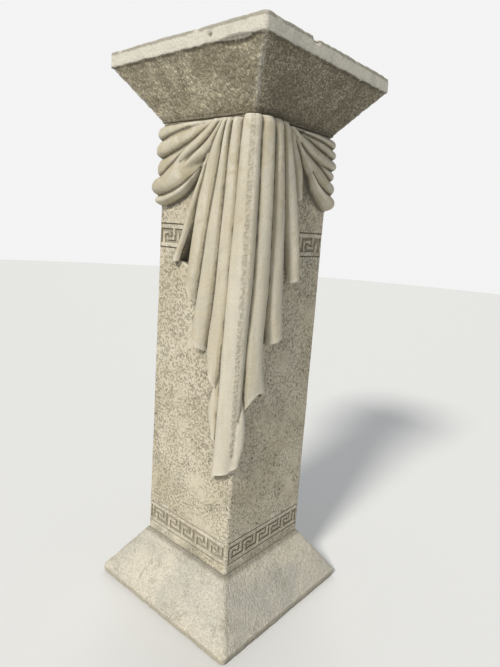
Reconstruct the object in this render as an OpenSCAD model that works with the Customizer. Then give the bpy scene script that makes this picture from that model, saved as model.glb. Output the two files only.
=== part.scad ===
// Draped square pillar: a cast-stone garden column in three stacked castings.
// A flared base, a square shaft with two key bands and a cloth cast over one
// corner, and a flared cap. Millimetres, +Z up, origin at the centre of the
// underside. The draped corner is the one towards +X and -Y.

/* [Overall] */
// Height of the whole column
total_h = 1000; // [900:1:1200]

/* [Base] */
// Width of the base at the floor
base_w = 350; // [300:1:420]
// Height of the upright rim round the base
base_rim_h = 16; // [8:1:30]
// Height of the slope from the rim up to the shaft
base_slope_h = 88; // [60:1:120]
// Corner radius of the base in plan
base_corner_r = 14; // [6:1:30]
// Ledge left round the foot of the shaft
seat_ledge = 1; // [0.5:0.5:6]

/* [Shaft] */
// Width of the shaft at its foot
shaft_foot_w = 218; // [190:1:260]
// Width of the shaft at its head
shaft_head_w = 214; // [186:1:256]
// Width of the flat worn along each arris of the shaft
arris_flat = 4; // [1:0.5:8]

/* [Cap] */
// Width of the slab at the top of the cap
cap_w = 350; // [300:1:420]
// Height of the slab
cap_slab_h = 24; // [14:1:40]
// Height of the slope under the slab
cap_slope_h = 80; // [55:1:110]
// Height of the upright lip at the foot of the slope
cap_lip_h = 4; // [2:1:8]
// Ledge by which the cap's foot stands out past the head of the shaft
cap_ledge = 3; // [1:0.5:8]
// Corner radius of the slab in plan
cap_corner_r = 6; // [3:1:15]

/* [Key bands] */
// Height from one border groove to the other
band_h = 42; // [36:1:50]
// Height of the lower band's middle above the base
lower_band_up = 40.5; // [36:0.5:80]
// Depth of the upper band's middle below the cap
upper_band_down = 193; // [170:1:230]
// Width of a border groove
border_w = 2.5; // [1.5:0.5:4]
// Width of the plain rail between a border groove and the key
rail_w = 7; // [4:0.5:8]
// Width of a raised key stroke
stroke_w = 4.5; // [3:0.5:5]
// Depth of the grooves
groove_depth = 3; // [1.5:0.5:5]
// Plain margin between the key and the arris
band_margin = 6; // [4:1:14]
// Length of one key unit, a rising hook and a hanging one
key_pitch = 38.5; // [34:0.5:46]
// Where the lower key starts on the +X and -X faces, as a share of a unit
lower_key_shift_x = 0.17; // [0:0.01:0.99]
// Where the lower key starts on the +Y and -Y faces
lower_key_shift_y = 0.44; // [0:0.01:0.99]
// Where the upper key starts on the +X and -X faces
upper_key_shift_x = 0.97; // [0:0.01:0.99]
// Where the upper key starts on the +Y and -Y faces
upper_key_shift_y = 0.2; // [0:0.01:0.99]

/* [Drapery] */
// How far the pleats of the fall stand out from the shaft
fall_relief = 24; // [16:1:32]
// How far the folds of the swags stand out from the shaft
swag_relief = 21; // [14:1:30]
// Height over which the cloth swells out from under the cap
gather_h = 32; // [15:1:60]
// Radius at which the cloth turns the corners
bend_r = 18; // [12:1:26]
// How far the hollow runs up into the hem of a pleat
hem_hollow = 14; // [6:1:24]
// Length of the fall, from the cap to the lowest tip
fall_len = 605; // [480:1:640]
// Depth of the swags at the side corners
swag_depth = 140; // [110:1:160]
// Length of the short tail at the back corner
tail_len = 165; // [100:1:260]

/* [Hidden] */

base_h = base_rim_h + base_slope_h;
cap_h = cap_lip_h + cap_slope_h + cap_slab_h;
cap_z = total_h - cap_h;
shaft_h = cap_z - base_h;
seat_w = shaft_foot_w + 2 * seat_ledge;
cap_foot_w = shaft_head_w + 2 * cap_ledge;
lower_band_z = base_h + lower_band_up;
upper_band_z = cap_z - upper_band_down;
root_depth = 5;        // how deep every fold is rooted in the shaft
corner_steps = 4;      // facets round a plan corner
pleat_facets = 8;      // facets across a pleat
pleat_stations = 11;   // rings down a pleat of the fall
tail_stations = 6;     // rings down a pleat of the tail
fold_facets = 6;       // facets across a swag fold
fold_stations = 7;     // rings from the gather to the side corner
stone = "#bdb5a3";

// ---------------------------------------------------------------- helpers

function mix(a, b, t) = a + (b - a) * t;
function clamp01(t) = min(1, max(0, t));

// Half of the shaft's width at height z: the shaft narrows evenly upwards.
function shaft_half(z) = mix(shaft_foot_w, shaft_head_w, clamp01((z - base_h) / shaft_h)) / 2;

// Outline of a square of width w whose corners have radius r, anticlockwise.
function soft_square(w, r) = [
    for (k = [0:3], i = [0:corner_steps])
        let (a = 90 * k - 90 + 90 * i / corner_steps, c = w / 2 - r)
        [c * sign(cos(90 * k - 45)) + r * cos(a), c * sign(sin(90 * k - 45)) + r * sin(a)]
];

// A solid skinned over rings of equal length, closed at both ends by a fan to an apex.
// Rings run clockwise as seen from the far end of the sweep.
module skin(rings, first_apex, last_apex) {
    n = len(rings[0]);
    m = len(rings);
    sides = [
        for (j = [0:m - 2], i = [0:n - 1])
            let (a = j * n + i, b = j * n + (i + 1) % n)
            each [[a, b, b + n], [a, b + n, a + n]]
    ];
    first_fan = [for (i = [0:n - 1]) [m * n, (i + 1) % n, i]];
    last_fan = [for (i = [0:n - 1]) [m * n + 1, (m - 1) * n + i, (m - 1) * n + (i + 1) % n]];
    points = concat([for (r = rings) each r], [first_apex, last_apex]);
    polyhedron(points, concat(sides, first_fan, last_fan), convexity = 8);
}

// A frustum between two outlines with the same number of points.
module frustum(low, high, z0, z1) {
    n = len(low);
    points = concat([for (p = low) [p.x, p.y, z0]], [for (p = high) [p.x, p.y, z1]]);
    sides = [for (i = [0:n - 1]) [i, n + i, n + (i + 1) % n, (i + 1) % n]];
    polyhedron(points, concat(sides, [[for (i = [0:n - 1]) i]], [[for (i = [n - 1:-1:0]) n + i]]));
}

// ---------------------------------------------------------------- base and cap

module base() {
    color(stone) {
        linear_extrude(base_rim_h) polygon(soft_square(base_w, base_corner_r));
        frustum(soft_square(base_w, base_corner_r), soft_square(seat_w, seat_ledge), base_rim_h, base_h);
    }
}

module cap() {
    slope_z = cap_z + cap_lip_h;
    slab_z = slope_z + cap_slope_h;
    color(stone) {
        translate([0, 0, cap_z])
            linear_extrude(cap_lip_h) polygon(soft_square(cap_foot_w, cap_ledge));
        frustum(soft_square(cap_foot_w, cap_ledge), soft_square(cap_w, cap_corner_r), slope_z, slab_z);
        translate([0, 0, slab_z])
            linear_extrude(cap_slab_h) polygon(soft_square(cap_w, cap_corner_r));
    }
}

// ---------------------------------------------------------------- cloth on the shaft

// Run is the way round the shaft from the draped corner: positive along the
// +X face, negative along the -Y face. This is the run of one whole side.
function side_run(half) = 2 * (half - bend_r) + PI * bend_r / 2;

// The point at a run, a height and a distance out from the shaft's face. The
// path is a square whose corners are arcs of bend_r.
function on_shaft(run, z, out) =
    let (
        half = shaft_half(z),
        side = side_run(half),
        corner = floor(run / side + 0.5),
        t = run - corner * side,
        arc = PI * bend_r / 4,
        c = half - bend_r,
        p = abs(t) <= arc
            ? let (a = -45 + 180 * t / (PI * bend_r)) [c + (bend_r + out) * cos(a), -c + (bend_r + out) * sin(a)]
            : t > 0
                ? [half + out, -c + t - arc]
                : [c + t + arc, -half - out],
        turn = 90 * corner
    )
    [p.x * cos(turn) - p.y * sin(turn), p.x * sin(turn) + p.y * cos(turn), z];

// Round-backed section: 0 at the edges and 1 at the ridge, whose place is lean.
function section(p, lean) =
    let (q = p < lean ? (p - lean) / lean : (p - lean) / (1 - lean))
    sqrt(max(0, 1 - pow(abs(q), 2.4)));

// Swelling of the cloth below the cap: a quarter round over gather_h.
function swell(z) = let (v = clamp01((cap_z - z) / gather_h)) 0.25 + 0.75 * sqrt(1 - pow(1 - v, 2));

// One pleat hangs from the cap to its hem. Its edges go from the top run to the
// hem run with a bow, flare out just above the hem, and the hem is cut aslant.
// Row: [top left, top right, hem left, hem right, hem drop left, hem drop right,
//       share of the relief, place of the ridge, flare]
// Runs are counted from the pleat's own corner, and drops are shares of its length.
fall_pleats = [
    [-58, -50, -160, -140, 0.392, 0.398, 0.95, 0.35, 0],
    [-50, -38, -118, -94,  0.398, 0.502, 0.80, 0.55, 0],
    [-38, -27, -98, -64,   0.590, 0.622, 0.90, 0.45, 0],
    [-27, -12, -66, -32,   0.640, 0.730, 0.92, 0.50, 0],
    [-12, 3,   -42, 8,     1.000, 0.945, 1.00, 0.62, 0],
    [3, 29,    2, 46,      0.790, 0.762, 0.95, 0.45, 10],
    [29, 54,   46, 84,     0.598, 0.580, 0.95, 0.42, 12],
    [54, 79,   90, 122,    0.427, 0.410, 0.92, 0.45, 4],
    [79, 88,   108, 116,   0.200, 0.190, 0.60, 0.50, 0]
];
tail_pleats = [
    [-86, -58, -104, -70, 0.55, 0.62, 0.75, 0.5, 0],
    [-58, -30, -66, -34,  0.76, 0.84, 0.85, 0.5, 0],
    [-30, 0,   -36, 2,    0.96, 1.00, 0.90, 0.5, 0],
    [0, 30,    0, 36,     0.88, 0.80, 0.85, 0.5, 0],
    [30, 58,   38, 74,    0.62, 0.55, 0.75, 0.5, 0]
];

module pleat(row, from_run, length, stations) {
    rings = [
        for (j = [0:stations - 1])
            let (
                v = pow(j / (stations - 1), 1.5),
                bow = pow(v, 0.85),
                left = from_run + mix(row[0], row[2], bow),
                right = from_run + mix(row[1], row[3], bow) + row[8] * pow(v, 7),
                drop = [for (k = [4, 5]) row[k] * length * v]
            )
            concat(
                [for (i = [0:pleat_facets])
                    let (p = i / pleat_facets, z = cap_z - mix(drop[0], drop[1], p))
                    on_shaft(mix(left, right, p), z, fall_relief * row[6] * swell(z) * section(p, row[7]))],
                [on_shaft(right, cap_z - drop[1], -root_depth), on_shaft(left, cap_z - drop[0], -root_depth)]
            )
    ];
    hem_z = cap_z - length * (row[4] + row[5]) / 2;
    skin(
        rings,
        on_shaft(from_run + (row[0] + row[1]) / 2, cap_z, 0),
        on_shaft(from_run + mix(row[2], row[3], row[7]), hem_z + hem_hollow, fall_relief * row[6] * 0.3)
    );
}

// One fold of a swag runs from the gather under the cap down to the side corner
// and on, in mirror image, to the back corner.
// Row: [run at the gather, drop there, drop at the side corner, half width at the
//       gather, half width at the corner, share of the relief, sag]
// The drop at the side corner is a share of swag_depth.
left_folds = [
    [60, 2, 0.14, 4, 12, 0.80, 1.0],
    [58, 6, 0.33, 5, 13, 0.90, 1.1],
    [52, 8, 0.55, 5, 14, 0.90, 1.2],
    [44, 10, 0.78, 7, 18, 1.05, 1.35],
    [58, 34, 0.96, 4, 7, 0.60, 1.7]
];
right_folds = [
    [78, 2, 0.10, 4, 11, 0.80, 1.0],
    [82, 6, 0.28, 5, 11, 0.90, 1.1],
    [86, 10, 0.46, 4, 10, 0.85, 1.1],
    [88, 14, 0.64, 6, 14, 1.00, 1.3],
    [92, 22, 0.84, 5, 16, 1.05, 1.6]
];

module swag_fold(row, side) {
    corner_run = side_run(shaft_half(cap_z));
    last = 2 * fold_stations;
    spine = [
        for (j = [0:last])
            let (
                q = 1 - abs(j / fold_stations - 1),
                run = mix(row[0], corner_run, q),
                drop = mix(row[1], row[2] * swag_depth, 1 - pow(1 - q, row[6]))
            )
            [j > fold_stations ? 2 * corner_run - run : run, cap_z - drop, mix(row[3], row[4], pow(q, 0.8)), q]
    ];
    rings = [
        for (j = [0:last])
            let (
                here = spine[j],
                step = spine[min(j + 1, last)] - spine[max(j - 1, 0)],
                slope = [step[0], step[1]] / norm([step[0], step[1]]),
                high = swag_relief * row[5] * mix(0.35, 1, sqrt(here[3])),
                arc = [for (i = [0:fold_facets])
                    let (a = 180 - 180 * i / fold_facets) [here[2] * cos(a), high * pow(sin(a), 0.8)]],
                loop = concat([for (c = arc) c], [[here[2], -root_depth], [-here[2], -root_depth]]),
                ring = [for (c = loop)
                    on_shaft(side * (here[0] - slope[1] * c[0]), here[1] + slope[0] * c[0], c[1])]
            )
            side > 0 ? ring : [for (i = [len(ring) - 1:-1:0]) ring[i]]
    ];
    skin(
        rings,
        on_shaft(side * spine[0][0], spine[0][1], 0),
        on_shaft(side * spine[last][0], spine[last][1], 0)
    );
}

module drapery() {
    for (row = fall_pleats) pleat(row, 0, fall_len, pleat_stations);
    for (row = tail_pleats) pleat(row, 2 * side_run(shaft_half(cap_z)), tail_len, tail_stations);
    for (row = left_folds) swag_fold(row, -1);
    for (row = right_folds) swag_fold(row, 1);
}

// ---------------------------------------------------------------- key bands

key_h = band_h - border_w - 2 * rail_w;
hanging_offset = 0.71;  // share of a unit from a rising stem to the hanging one

module stroke(from, to) {
    hull() {
        translate(from) square(stroke_w, center = true);
        translate(to) square(stroke_w, center = true);
    }
}

// One hook of the key, standing on the lower rail.
module hook() {
    arm_z = key_h / 2 - stroke_w * 1.6;
    reach = key_pitch * 0.45;
    stroke([0, -key_h / 2], [0, arm_z]);
    stroke([0, arm_z], [reach, arm_z]);
    stroke([reach, arm_z], [reach, arm_z - stroke_w]);
}

// The band's cutter for one face, drawn in the plane of the face.
module band_cutter(width, shift) {
    field_w = width - 2 * band_margin;
    intersection() {
        square([field_w, band_h + border_w], center = true);
        union() {
            for (s = [-1, 1]) translate([0, s * band_h / 2]) square([field_w, border_w], center = true);
            difference() {
                square([field_w, key_h], center = true);
                for (k = [-1:ceil(field_w / key_pitch)]) translate([(k + shift) * key_pitch - field_w / 2, 0]) {
                    hook();
                    translate([key_pitch * hanging_offset, 0]) rotate(180) hook();
                }
            }
        }
    }
}

module key_band(z, shifts) {
    half = shaft_half(z);
    for (k = [0:3]) rotate([0, 0, 90 * k]) translate([half - groove_depth, 0, z])
        rotate([90, 0, 90]) linear_extrude(groove_depth + 2) band_cutter(2 * half, shifts[k % 2]);
}

// ---------------------------------------------------------------- shaft

module shaft_body() {
    foot = shaft_foot_w / 2;
    head = shaft_head_w / 2;
    corner = function (h) [
        for (k = [0:3], s = [-1, 1])
            let (a = 90 * k, x = h - (s < 0 ? arris_flat : 0), y = h - (s > 0 ? arris_flat : 0))
            s < 0 ? [x * cos(a) + h * sin(a), x * sin(a) - h * cos(a)]
                  : [h * cos(a) + y * sin(a), h * sin(a) - y * cos(a)]
    ];
    frustum(corner(foot), corner(head), base_h, cap_z);
}

module shaft() {
    color(stone) intersection() {
        union() {
            difference() {
                shaft_body();
                key_band(lower_band_z, [lower_key_shift_x, lower_key_shift_y]);
                key_band(upper_band_z, [upper_key_shift_x, upper_key_shift_y]);
            }
            drapery();
        }
        translate([-base_w, -base_w, 0]) cube([2 * base_w, 2 * base_w, cap_z]);
    }
}

base();
shaft();
cap();
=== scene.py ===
"""Looks of a draped square pillar in cast stone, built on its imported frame.

Three castings stand on each other: a flared base, a square shaft with two key
bands and a cloth cast over one corner, and a flared cap. Everything is in
metres, +Z up, with the origin at the centre of the underside. Sizes in the
tables of folds are millimetres, because that is how a mould maker reads them.
"""

import math

import bmesh
import bpy
import numpy as np
from bpy.props import FloatProperty, FloatVectorProperty, IntProperty, PointerProperty
from mathutils import Matrix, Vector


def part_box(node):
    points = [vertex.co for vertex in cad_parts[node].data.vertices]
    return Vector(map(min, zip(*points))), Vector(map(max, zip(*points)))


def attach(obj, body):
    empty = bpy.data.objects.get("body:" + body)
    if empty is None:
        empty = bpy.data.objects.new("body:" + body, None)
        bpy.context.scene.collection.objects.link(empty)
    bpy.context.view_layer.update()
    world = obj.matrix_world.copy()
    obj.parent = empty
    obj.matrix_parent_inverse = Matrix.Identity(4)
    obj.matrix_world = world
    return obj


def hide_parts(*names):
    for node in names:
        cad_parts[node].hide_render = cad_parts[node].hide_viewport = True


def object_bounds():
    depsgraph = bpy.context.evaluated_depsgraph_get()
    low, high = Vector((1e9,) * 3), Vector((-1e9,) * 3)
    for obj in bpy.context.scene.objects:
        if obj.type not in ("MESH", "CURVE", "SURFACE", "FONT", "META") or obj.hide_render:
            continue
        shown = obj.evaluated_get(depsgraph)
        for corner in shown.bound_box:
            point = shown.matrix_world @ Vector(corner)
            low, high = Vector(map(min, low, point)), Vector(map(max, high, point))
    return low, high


bl_info = {
    "name": "Draped Pillar",
    "version": (1, 0, 0),
    "blender": (4, 5, 0),
    "location": "View3D > Sidebar > Pillar",
    "description": "Cast-stone pillar with key bands and a draped cloth",
    "category": "Object",
}

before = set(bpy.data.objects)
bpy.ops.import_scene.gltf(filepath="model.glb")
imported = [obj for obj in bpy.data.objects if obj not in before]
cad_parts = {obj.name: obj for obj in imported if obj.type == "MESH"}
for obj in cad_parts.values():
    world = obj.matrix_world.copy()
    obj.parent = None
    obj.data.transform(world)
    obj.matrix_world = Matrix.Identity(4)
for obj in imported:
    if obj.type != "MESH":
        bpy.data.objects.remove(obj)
CAD_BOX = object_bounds()
BASE_LOW, BASE_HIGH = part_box("base")
SHAFT_LOW, SHAFT_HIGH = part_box("shaft")
CAP_LOW, CAP_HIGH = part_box("cap")

MM = 0.001
FOOT_Z = SHAFT_LOW.z
HEAD_Z = SHAFT_HIGH.z


def sizes():
    """The sizes a user may change."""
    return bpy.context.scene.pillar_sizes


def colours():
    """The colours a user may change."""
    return bpy.context.scene.pillar_colours


# ------------------------------------------------------------------ surfaces

# Least squared length of an edge, and greatest bend, that a hollow is worked out from.
SHORTEST_SQUARED = 1e-10
SHARPEST_BEND = 2 / MM


def ease(t):
    """3t^2 - 2t^3 with t held between 0 and 1: a step with a soft start and end."""
    t = np.clip(t, 0, 1)
    return t * t * (3 - 2 * t)


def lumps(points, cell, seed):
    """Smooth random field in -1..1: random values on a cubic lattice of that cell, blended with ease."""
    table = np.random.default_rng(seed).uniform(-1, 1, (32, 32, 32))
    place = points / cell
    low = np.floor(place).astype(int)
    share = ease(place - low)
    field = np.zeros(points.shape[:-1])
    for corner in np.ndindex(2, 2, 2):
        i, j, k = np.moveaxis((low + corner) % 32, -1, 0)
        weight = np.prod(np.where(corner, share, 1 - share), axis=-1)
        field += weight * table[i, j, k]
    return field


def through(knots, t):
    """Points at shares t along a smooth curve through the knots.

    Between two knots it is a cubic Hermite, whose tangent at a knot is half the
    step from the knot before to the knot after.
    """
    knots = np.asarray(knots, float)
    place = np.clip(t, 0, 1) * (len(knots) - 1)
    k = np.minimum(place.astype(int), len(knots) - 2)
    f = (place - k)[:, None]
    slope = np.gradient(knots, axis=0)
    start = (2 * f**3 - 3 * f**2 + 1) * knots[k] + (f**3 - 2 * f**2 + f) * slope[k]
    end = (3 * f**2 - 2 * f**3) * knots[k + 1] + (f**3 - f**2) * slope[k + 1]
    return start + end


def shaft_half(z):
    """Half of the shaft's width at height z: it narrows evenly from foot to head."""
    share = np.clip((z - FOOT_Z) / (HEAD_Z - FOOT_Z), 0, 1)
    return (sizes().shaft_foot_w * (1 - share) + sizes().shaft_head_w * share) / 2


def side_run(z):
    """Length of one side of the path that the cloth takes round the shaft at height z."""
    bend = sizes().bend_r
    return 2 * (shaft_half(z) - bend) + math.pi * bend / 2


def on_shaft(run, z, out):
    """Point at a run round the shaft, a height and a distance out from its face.

    Run is 0 at the draped corner, positive along the +X face and negative along
    the -Y face. The path is a square whose corners are arcs of the bend radius.
    """
    bend = sizes().bend_r
    corner = np.floor(run / side_run(z) + 0.5)
    t = run - corner * side_run(z)
    arc = math.pi * bend / 4
    turned = np.clip(t, -arc, arc)
    past = t - turned
    angle = turned / bend - math.pi / 4
    centre = shaft_half(z) - bend
    x = centre + (bend + out) * np.cos(angle) + np.minimum(past, 0)
    y = -centre + (bend + out) * np.sin(angle) + np.maximum(past, 0)
    turn = corner * math.pi / 2
    turned_x = x * np.cos(turn) - y * np.sin(turn)
    turned_y = x * np.sin(turn) + y * np.cos(turn)
    return np.stack([turned_x, turned_y, z + 0 * x], axis=-1)


def soft_square(half, radius, along, round_steps):
    """Outline of a square with rounded corners, anticlockwise from the middle of the +X side's low end.

    Each side has as many even steps as along says, and each corner an arc of round_steps.
    """
    arc = np.linspace(0, math.pi / 2, round_steps + 1)
    straight = np.linspace(-1, 1, along + 1)[1:-1]
    x = np.concatenate([np.ones(along - 1) * half, half - radius + radius * np.cos(arc)])
    y = np.concatenate([straight * (half - radius), half - radius + radius * np.sin(arc)])
    quarters = [(x, y), (-y, x), (-x, -y), (y, -x)]
    return np.concatenate([np.stack(q, axis=-1) for q in quarters])


def skin(rings, first_tip, last_tip):
    """Points and faces of a tube through rings (stations, points, 3), each end drawn to a tip."""
    stations, around, _ = rings.shape
    points = np.concatenate([rings.reshape(-1, 3), [first_tip, last_tip]])
    index = np.arange(stations * around).reshape(stations, around)
    beside = np.roll(index, -1, axis=1)
    quads = np.stack([index[:-1], beside[:-1], beside[1:], index[1:]], axis=-1).reshape(-1, 4)
    tip = stations * around
    first = np.stack([beside[0], index[0], np.full(around, tip)], axis=-1)
    last = np.stack([index[-1], beside[-1], np.full(around, tip + 1)], axis=-1)
    return points, quads.tolist() + first.tolist() + last.tolist()


def mesh_object(name, points, faces):
    """A new object with that mesh, in the scene."""
    mesh = bpy.data.meshes.new(name)
    mesh.from_pydata(np.asarray(points).tolist(), [], faces)
    mesh.update()
    made = bpy.data.objects.new(name, mesh)
    bpy.context.scene.collection.objects.link(made)
    return made


def outward(name, points, faces):
    """mesh_object with its faces turned outwards."""
    made = mesh_object(name, points, faces)
    bpy.ops.object.select_all(action="DESELECT")
    made.select_set(True)
    bpy.context.view_layer.objects.active = made
    bpy.ops.object.mode_set(mode="EDIT")
    bpy.ops.mesh.select_all(action="SELECT")
    bpy.ops.mesh.normals_make_consistent(inside=False)
    bpy.ops.object.mode_set(mode="OBJECT")
    return made


def combine(made, operation, others):
    """Adds a Boolean modifier to made for each of the others."""
    for other in others:
        step = made.modifiers.new(operation.lower(), "BOOLEAN")
        step.operation = operation
        step.solver = "MANIFOLD"
        step.object = other


def settle(made, spent=()):
    """Applies every modifier of made, and then removes the objects they used."""
    graph = bpy.context.evaluated_depsgraph_get()
    graph.update()
    fresh = bpy.data.meshes.new_from_object(made.evaluated_get(graph))
    old = made.data
    made.modifiers.clear()
    made.data = fresh
    bpy.data.meshes.remove(old)
    for other in spent:
        bpy.data.objects.remove(other)
    return made


def clean_skin(mesh):
    """Makes a mesh triangles in one closed skin.

    Slivers, pairs of faces that lie back to back on one triangle, and scraps
    that don't hang together with the highest point are taken away.
    """
    work = bmesh.new()
    work.from_mesh(mesh)
    bmesh.ops.dissolve_degenerate(work, edges=work.edges, dist=0.02 * MM)
    bmesh.ops.triangulate(work, faces=work.faces)
    work.verts.index_update()
    triples = np.sort([[vertex.index for vertex in face.verts] for face in work.faces], axis=1)
    place, count = np.unique(triples, axis=0, return_inverse=True, return_counts=True)[1:]
    work.faces.ensure_lookup_table()
    twins = [work.faces[k] for k in np.flatnonzero(count[place.ravel()] > 1)]
    bmesh.ops.delete(work, geom=twins, context="FACES")
    ahead = [max(work.verts, key=lambda vertex: vertex.co.z)]
    reached = set(ahead)
    while ahead:
        vertex = ahead.pop()
        fresh = {edge.other_vert(vertex) for edge in vertex.link_edges} - reached
        reached |= fresh
        ahead += fresh
    scraps = [vertex for vertex in work.verts if vertex not in reached]
    bmesh.ops.delete(work, geom=scraps, context="VERTS")
    work.to_mesh(mesh)
    work.free()


def mesh_points(mesh):
    """All vertices of a mesh as an array."""
    flat = np.empty(len(mesh.vertices) * 3)
    mesh.vertices.foreach_get("co", flat)
    return flat.reshape(-1, 3)


def mesh_normals(mesh):
    """All vertex normals of a mesh as an array."""
    flat = np.empty(len(mesh.vertices) * 3, np.float32)
    mesh.vertex_normals.foreach_get("vector", flat)
    return flat.reshape(-1, 3).astype(float)


def move_points(mesh, points):
    """Puts the vertices of a mesh at those points."""
    mesh.vertices.foreach_set("co", points.astype(np.float32).ravel())
    mesh.update()


def mark_hollows(mesh, name, rounds, reach):
    """Stores on each vertex how hollow the surface is there, from -1 for proud to 1 for hollow.

    An edge is hollow by minus the change of the normal along it over its length.
    It never counts as bent tighter than to a radius of 0.5 mm, so that a very
    short one can't paint a spot of shade.
    A vertex takes the mean of its edges, spread over its neighbours some rounds,
    and divided by a curvature of one over reach.
    """
    ends = np.empty(len(mesh.edges) * 2, np.int32)
    mesh.edges.foreach_get("vertices", ends)
    a, b = ends.reshape(-1, 2).T
    points = mesh_points(mesh)
    normals = mesh_normals(mesh)
    step = points[b] - points[a]
    squared = np.maximum(np.sum(step**2, axis=1), SHORTEST_SQUARED)
    bend = -np.sum((normals[b] - normals[a]) * step, axis=1) / squared
    bend = np.clip(bend, -SHARPEST_BEND, SHARPEST_BEND)
    count = len(points)
    both = np.concatenate([a, b])
    valence = np.maximum(np.bincount(both, minlength=count), 1)
    hollow = np.bincount(both, np.concatenate([bend, bend]), count) / valence
    for _ in range(rounds):
        around = np.bincount(both, np.concatenate([hollow[b], hollow[a]]), count) / valence
        hollow = 0.5 * hollow + 0.5 * around
    made = mesh.attributes.new(name, "FLOAT", "POINT")
    made.data.foreach_set("value", np.clip(hollow * reach, -1, 1).astype(np.float32))


def smooth_shade(mesh, angle):
    """Shades smooth across edges that turn less than the angle, in degrees."""
    mesh.shade_smooth()
    mesh.set_sharp_from_angle(angle=math.radians(angle))


# ------------------------------------------------------------------ the cloth

# Rings down a pleat and along a roll, and points across either.
PLEAT_STATIONS = 64
ROLL_STATIONS = 96
ACROSS = 22
# Power of the folds' section: a higher one makes their backs flatter.
FULLNESS = 2.3
# How deep every fold is rooted in the shaft.
ROOT = 6 * MM
# How far the edges of a pleat wander to either side.
WANDER = 0.8 * MM

# Pleats of the fall, from the -Y side to the +X side, in millimetres. Each edge
# goes through points (run from the draped corner, height), from the cap down to
# the hem. Relief is how far the ridge stands out, and ridge its place across,
# as a share. Hollow is how far the hem is hollowed, bow how far its middle is
# lifted, and rise the share of the relief that is missing at the top.
FALL_PLEATS = [
    dict(left=[(-90, 830), (-125, 755), (-145, 705), (-165, 655)],
         right=[(-70, 840), (-105, 755), (-125, 705), (-145, 655)], relief=14, ridge=0.55, hollow=2),
    dict(left=[(-50, 885), (-78, 840), (-104, 775), (-116, 700), (-122, 625)],
         right=[(-36, 885), (-50, 840), (-62, 765), (-78, 680), (-100, 585)],
         relief=18, ridge=0.50, hollow=4),
    dict(left=[(-40, 885), (-54, 835), (-70, 760), (-88, 650), (-106, 530)],
         right=[(-27, 885), (-35, 835), (-41, 750), (-50, 630), (-73, 505)],
         relief=19, ridge=0.50, hollow=4),
    dict(left=[(-29, 885), (-39, 830), (-45, 740), (-54, 615), (-66, 520), (-56, 480)],
         right=[(-12, 885), (-12, 830), (-12, 740), (-14, 615), (-18, 520), (-38, 445)],
         relief=18, ridge=0.45, hollow=3),
    dict(left=[(-40, 500), (-50, 450), (-59, 405), (-44, 360)],
         right=[(-16, 500), (-17, 450), (-19, 405), (-30, 350)], relief=12, ridge=0.50, hollow=3, rise=0.7),
    dict(left=[(-13, 890), (-18, 760), (-25, 580), (-31, 430), (-38, 285)],
         right=[(9, 890), (10, 760), (10, 580), (8, 430), (2, 310)], relief=22, ridge=0.60, hollow=5),
    dict(left=[(-4, 460), (-8, 380), (-12, 305)],
         right=[(7, 460), (15, 380), (9, 320)], relief=17, ridge=0.62, hollow=3, rise=0.7),
    dict(left=[(4, 890), (6, 760), (6, 630), (5, 510), (9, 405)],
         right=[(28, 890), (41, 760), (47, 630), (45, 510), (62, 430)],
         relief=20, ridge=0.55, hollow=4, bow=30),
    dict(left=[(24, 890), (34, 790), (42, 680), (45, 590), (60, 525)],
         right=[(50, 890), (70, 790), (84, 680), (89, 600), (93, 540)], relief=20, ridge=0.50, hollow=4),
    dict(left=[(45, 890), (70, 780), (93, 690), (106, 630)],
         right=[(68, 890), (103, 800), (121, 710), (133, 640)], relief=18, ridge=0.50, hollow=4),
    dict(left=[(76, 880), (98, 820), (114, 770)],
         right=[(90, 880), (119, 830), (128, 780)], relief=10, ridge=0.50, hollow=2),
]

# Pleats of the short tail, counted from the opposite corner.
TAIL_PLEATS = [
    dict(left=[(-86, 886), (-104, 800)], right=[(-57, 886), (-68, 790)], relief=16, ridge=0.5, hollow=3),
    dict(left=[(-58, 887), (-67, 768)], right=[(-29, 887), (-33, 754)], relief=18, ridge=0.5, hollow=3),
    dict(left=[(-30, 888), (-35, 734)], right=[(1, 888), (3, 727)], relief=20, ridge=0.5, hollow=3),
    dict(left=[(0, 888), (1, 746)], right=[(31, 887), (37, 760)], relief=18, ridge=0.5, hollow=3),
    dict(left=[(30, 887), (36, 788)], right=[(59, 886), (75, 800)], relief=16, ridge=0.5, hollow=3),
]

# Rolls of the swags, in the same terms. The upper and the lower edge go from
# the gather to the side corner, and the same way back to the tail. SIDE stands
# for the run of that corner. Start is the share of its relief that a roll has
# at the gather.
SIDE = 206.8
LEFT_ROLLS = [
    dict(upper=[(60, 889), (130, 889), (SIDE, 887)],
         lower=[(60, 886), (130, 878), (SIDE, 861)], relief=16, ridge=0.55, start=0.5),
    dict(upper=[(62, 889), (115, 888), (165, 877), (SIDE, 863)],
         lower=[(70, 886), (115, 861), (165, 840), (SIDE, 831)], relief=18, ridge=0.62, start=0.5),
    dict(upper=[(74, 888), (115, 865), (165, 843), (SIDE, 834)],
         lower=[(76, 885), (115, 854), (165, 822), (SIDE, 797)], relief=15, ridge=0.60, start=0.3),
    dict(upper=[(76, 884), (120, 855), (165, 828), (SIDE, 802)],
         lower=[(62, 864), (98, 812), (150, 775), (SIDE, 766)], relief=25, ridge=0.55, start=0.22),
    dict(upper=[(72, 846), (100, 813), (150, 783), (SIDE, 769)],
         lower=[(70, 838), (95, 814), (142, 770), (SIDE, 751)], relief=18, ridge=0.50, start=0.75),
]
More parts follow.
